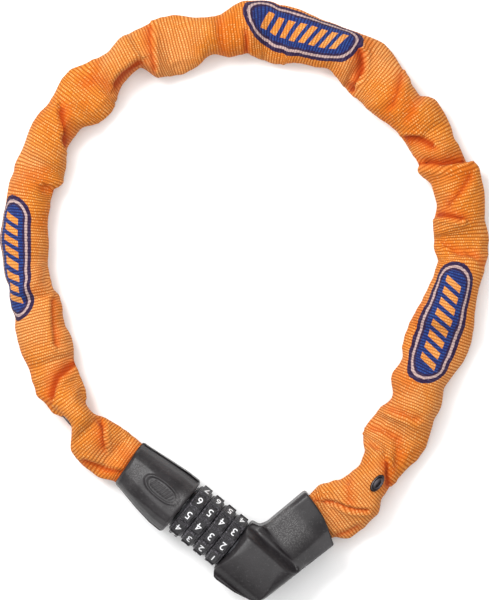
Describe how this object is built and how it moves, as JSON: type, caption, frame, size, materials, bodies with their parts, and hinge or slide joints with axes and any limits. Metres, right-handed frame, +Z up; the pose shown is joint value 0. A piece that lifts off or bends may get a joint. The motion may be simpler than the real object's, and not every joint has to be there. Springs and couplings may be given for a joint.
{
  "type": "combination chain lock",
  "caption": "Closed combination chain lock: number dials between a plug cap and an angled housing, with a square-link chain in a textile sleeve.",
  "frame": {"origin": "middle of the bounding box's underside, on the surface that the lock lies on", "axes": "+Z up from that surface, +Y from the lock head across the loop, +X to the right seen from above"},
  "size_m": [0.2404, 0.2954, 0.0321],
  "materials": {
    "cover": "moulded, fine grain",
    "dial": "grained, white numbers",
    "textile": "ribbed woven sleeve",
    "hardened_steel": "zinc plated",
    "steel": "bright",
    "zinc": "die cast"
  },
  "bodies": {
    "elbow": {"elbow_housing": "cover", "elbow_core": "zinc", "slotted_barrel": "steel", "retaining_ring": "steel", "detent_strip": "steel", "ejector_spring": "steel", "elbow_chain_pin": "steel", "chain_sleeve": "textile"},
    "plug": {"plug_cap": "cover", "plug_core": "zinc", "locking_bolt": "steel", "bolt_cross_pin": "steel", "plug_chain_pin": "steel"},
    "dial_1": {"number_dial_1": "dial", "code_ring_1": "zinc"},
    "dial_2": {"number_dial_2": "dial", "code_ring_2": "zinc"},
    "dial_3": {"number_dial_3": "dial", "code_ring_3": "zinc"},
    "dial_4": {"number_dial_4": "dial", "code_ring_4": "zinc"},
    "link_01": {"chain_link_01": "hardened_steel", "chain_link_02": "hardened_steel", "sleeve_rivet_plug_side": "zinc"},
    "link_03": {"chain_link_03": "hardened_steel", "chain_link_04": "hardened_steel"},
    "link_05": {"chain_link_05": "hardened_steel", "chain_link_06": "hardened_steel", "chain_link_07": "hardened_steel"},
    "link_08": {"chain_link_08": "hardened_steel", "chain_link_09": "hardened_steel", "chain_link_10": "hardened_steel"},
    "link_11": {"chain_link_11": "hardened_steel", "chain_link_12": "hardened_steel"},
    "link_15": {"chain_link_13": "hardened_steel", "chain_link_14": "hardened_steel", "chain_link_15": "hardened_steel"},
    "link_18": {"chain_link_16": "hardened_steel", "chain_link_17": "hardened_steel", "chain_link_18": "hardened_steel"},
    "link_21": {"chain_link_19": "hardened_steel", "chain_link_20": "hardened_steel", "chain_link_21": "hardened_steel"},
    "link_24": {"chain_link_22": "hardened_steel", "chain_link_23": "hardened_steel", "chain_link_24": "hardened_steel", "sleeve_rivet_elbow_side": "zinc"},
    "link_25": {"chain_link_25": "hardened_steel"}
  },
  "joints": [
    {"name": "plug_pull", "type": "slide", "parent": "elbow", "child": "plug", "axis": [-0.7826, 0.6225, 0], "range_m": [0, 0.04], "deforming": ["chain_sleeve", "ejector_spring"]},
    {"name": "dial_1_turn", "type": "hinge", "parent": "elbow", "child": "dial_1", "pos_m": [-0.02629, -0.1036, 0.016], "axis": [0.7826, -0.6225, 0], "continuous": true},
    {"name": "dial_2_turn", "type": "hinge", "parent": "elbow", "child": "dial_2", "pos_m": [-0.02039, -0.1083, 0.016], "axis": [0.7826, -0.6225, 0], "continuous": true},
    {"name": "dial_3_turn", "type": "hinge", "parent": "elbow", "child": "dial_3", "pos_m": [-0.01448, -0.113, 0.016], "axis": [0.7826, -0.6225, 0], "continuous": true},
    {"name": "dial_4_turn", "type": "hinge", "parent": "elbow", "child": "dial_4", "pos_m": [-0.00857, -0.1177, 0.016], "axis": [0.7826, -0.6225, 0], "continuous": true},
    {"name": "link_01_swing", "type": "hinge", "parent": "plug", "child": "link_01", "pos_m": [-0.05255, -0.08271, 0.01135], "axis": [0, 0, 1], "range_deg": [0, 0.424]},
    {"name": "link_03_swing", "type": "hinge", "parent": "link_01", "child": "link_03", "pos_m": [-0.0887, -0.04671, 0.01135], "axis": [0, 0, 1], "range_deg": [-4.88, 0]},
    {"name": "link_05_swing", "type": "hinge", "parent": "link_03", "child": "link_05", "pos_m": [-0.10467, 0.00183, 0.01135], "axis": [0, 0, 1], "range_deg": [-3.04, 0]},
    {"name": "link_08_swing", "type": "hinge", "parent": "link_05", "child": "link_08", "pos_m": [-0.10167, 0.07046, 0.01135], "axis": [0, 0, 1], "range_deg": [0, 1.09]},
    {"name": "link_11_swing", "type": "hinge", "parent": "link_08", "child": "link_11", "pos_m": [-0.04295, 0.12672, 0.01135], "axis": [0, 0, 1], "range_deg": [0, 1.89]},
    {"name": "link_25_swing", "type": "hinge", "parent": "elbow", "child": "link_25", "pos_m": [0.03275, -0.11035, 0.01135], "axis": [0, 0, 1], "range_deg": [0, 3.37]},
    {"name": "link_24_swing", "type": "hinge", "parent": "link_25", "child": "link_24", "pos_m": [0.04735, -0.0986, 0.01135], "axis": [0, 0, 1], "range_deg": [0, 5.44]},
    {"name": "link_21_swing", "type": "hinge", "parent": "link_24", "child": "link_21", "pos_m": [0.09315, -0.03051, 0.01135], "axis": [0, 0, 1], "range_deg": [-4.66, 0]},
    {"name": "link_18_swing", "type": "hinge", "parent": "link_21", "child": "link_18", "pos_m": [0.10889, 0.0369, 0.01135], "axis": [0, 0, 1], "range_deg": [-5.69, 0]},
    {"name": "link_15_swing", "type": "hinge", "parent": "link_18", "child": "link_15", "pos_m": [0.07017, 0.10944, 0.01135], "axis": [0, 0, 1], "range_deg": [-2.98, 0]}
  ],
  "couplings": [
    {"joint": "link_01_swing", "follows": "plug_pull", "rad_per_m": 0.1839},
    {"joint": "link_03_swing", "follows": "plug_pull", "rad_per_m": -2.1264},
    {"joint": "link_05_swing", "follows": "plug_pull", "rad_per_m": -1.3215},
    {"joint": "link_08_swing", "follows": "plug_pull", "rad_per_m": 0.4744},
    {"joint": "link_11_swing", "follows": "plug_pull", "rad_per_m": 0.8226},
    {"joint": "link_25_swing", "follows": "plug_pull", "rad_per_m": 1.4672},
    {"joint": "link_24_swing", "follows": "plug_pull", "rad_per_m": 2.3678},
    {"joint": "link_21_swing", "follows": "plug_pull", "rad_per_m": -2.0286},
    {"joint": "link_18_swing", "follows": "plug_pull", "rad_per_m": -2.4779},
    {"joint": "link_15_swing", "follows": "plug_pull", "rad_per_m": -1.2956}
  ]
}
